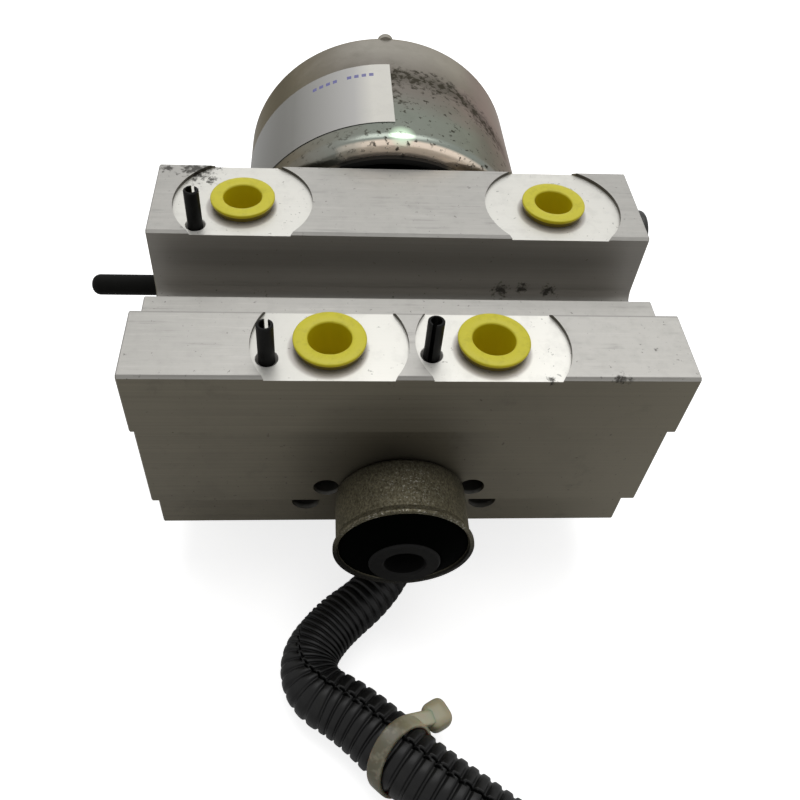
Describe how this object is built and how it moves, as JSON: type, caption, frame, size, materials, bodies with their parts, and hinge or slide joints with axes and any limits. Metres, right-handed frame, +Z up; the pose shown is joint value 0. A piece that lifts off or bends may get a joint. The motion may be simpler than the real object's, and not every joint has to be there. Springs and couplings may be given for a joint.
{
  "type": "abs brake module",
  "caption": "Ported aluminium brake valve block with a round pump motor, solenoid valve cover, rubber mounting bush and harness lead",
  "frame": {"origin": "middle of the footprint of the unit without its harness, on the face of the valve cover that it stands on", "axes": "+X from the spigot side to the plug side, +Y from the front bush to the motor, +Z up to the ports"},
  "size_m": [0.1658, 0.2155, 0.0901],
  "materials": {
    "block_aluminium": "brushed",
    "yellow_plastic": "satin",
    "black_plastic": "satin",
    "conduit_plastic": "satin",
    "natural_nylon": "satin",
    "rubber": "matte",
    "worn_zinc": "rusty zinc",
    "plated_can": "iridescent zinc",
    "label": "satin",
    "copper": "satin",
    "coil_plastic": "satin",
    "dark_steel": "dark",
    "steel": "satin"
  },
  "bodies": {
    "unit": {"brush_plate": "black_plastic", "brush_spring_lower": "steel", "brush_spring_upper": "steel", "bush_core": "steel", "bush_rubber": "rubber", "bush_sleeve": "worn_zinc", "cover_gasket": "rubber", "cover_screw_left_front": "steel", "cover_screw_left_rear": "steel", "cover_screw_right_front": "steel", "cover_screw_right_rear": "steel", "front_bearing": "steel", "magnet_left": "dark_steel", "magnet_right": "dark_steel", "motor_can": "plated_can", "motor_end_plate": "steel", "motor_gasket": "rubber", "motor_label": "label", "outlet_grommet": "rubber", "port_plug_front_left": "yellow_plastic", "port_plug_front_right": "yellow_plastic", "port_plug_rear_left": "yellow_plastic", "port_plug_rear_right": "yellow_plastic", "pump_cap_left": "steel", "pump_cap_right": "steel", "rear_bearing": "steel", "side_plug": "dark_steel", "side_spigot": "steel", "spigot_cap": "rubber", "spring_pin_front_left": "steel", "spring_pin_front_right": "steel", "spring_pin_rear_left": "steel", "tie_bolt_lower": "steel", "tie_bolt_upper": "steel", "valve_block": "block_aluminium", "valve_body_left_inner": "steel", "valve_body_left_outer": "steel", "valve_body_right_inner": "steel", "valve_body_right_outer": "steel", "valve_coil_left_inner": "coil_plastic", "valve_coil_left_outer": "coil_plastic", "valve_coil_right_inner": "coil_plastic", "valve_coil_right_outer": "coil_plastic", "valve_cover": "black_plastic", "harness_conduit": "conduit_plastic", "cable_tie": "natural_nylon", "harness_connector": "black_plastic"},
    "rotor": {"rotor_shaft": "steel", "eccentric_ring": "steel", "rotor_core": "dark_steel", "rotor_windings": "copper", "commutator": "copper"},
    "pump_plunger_left": {"pump_plunger_left": "steel"},
    "valve_armature_left_inner": {"valve_armature_left_inner": "steel"},
    "valve_armature_left_outer": {"valve_armature_left_outer": "steel"},
    "pump_plunger_right": {"pump_plunger_right": "steel"},
    "valve_armature_right_inner": {"valve_armature_right_inner": "steel"},
    "valve_armature_right_outer": {"valve_armature_right_outer": "steel"},
    "brush_upper": {"brush_upper": "dark_steel"},
    "brush_lower": {"brush_lower": "dark_steel"}
  },
  "joints": [
    {"name": "rotor_spin", "type": "hinge", "parent": "unit", "child": "rotor", "pos_m": [0.0061, 0.0036, 0.0492], "axis": [0, 1, 0], "continuous": true},
    {"name": "pump_stroke_left", "type": "slide", "parent": "unit", "child": "pump_plunger_left", "axis": [1, 0, 0], "range_m": [0, 0.00075]},
    {"name": "pump_stroke_right", "type": "slide", "parent": "unit", "child": "pump_plunger_right", "axis": [-1, 0, 0], "range_m": [0, 0.00075]},
    {"name": "valve_lift_left_inner", "type": "slide", "parent": "unit", "child": "valve_armature_left_inner", "axis": [0, 0, 1], "range_m": [0, 0.0004], "stiffness_N_per_m": 200, "springref_m": -0.002},
    {"name": "valve_lift_left_outer", "type": "slide", "parent": "unit", "child": "valve_armature_left_outer", "axis": [0, 0, 1], "range_m": [0, 0.0004], "stiffness_N_per_m": 200, "springref_m": -0.002},
    {"name": "valve_lift_right_inner", "type": "slide", "parent": "unit", "child": "valve_armature_right_inner", "axis": [0, 0, 1], "range_m": [0, 0.0004], "stiffness_N_per_m": 200, "springref_m": -0.002},
    {"name": "valve_lift_right_outer", "type": "slide", "parent": "unit", "child": "valve_armature_right_outer", "axis": [0, 0, 1], "range_m": [0, 0.0004], "stiffness_N_per_m": 200, "springref_m": -0.002},
    {"name": "brush_slide_upper", "type": "slide", "parent": "unit", "child": "brush_upper", "axis": [0, 0, 1], "range_m": [0, 0.003], "stiffness_N_per_m": 150, "springref_m": -0.004, "deforming": ["brush_spring_upper"]},
    {"name": "brush_slide_lower", "type": "slide", "parent": "unit", "child": "brush_lower", "axis": [0, 0, -1], "range_m": [0, 0.003], "stiffness_N_per_m": 150, "springref_m": -0.004, "deforming": ["brush_spring_lower"]}
  ]
}
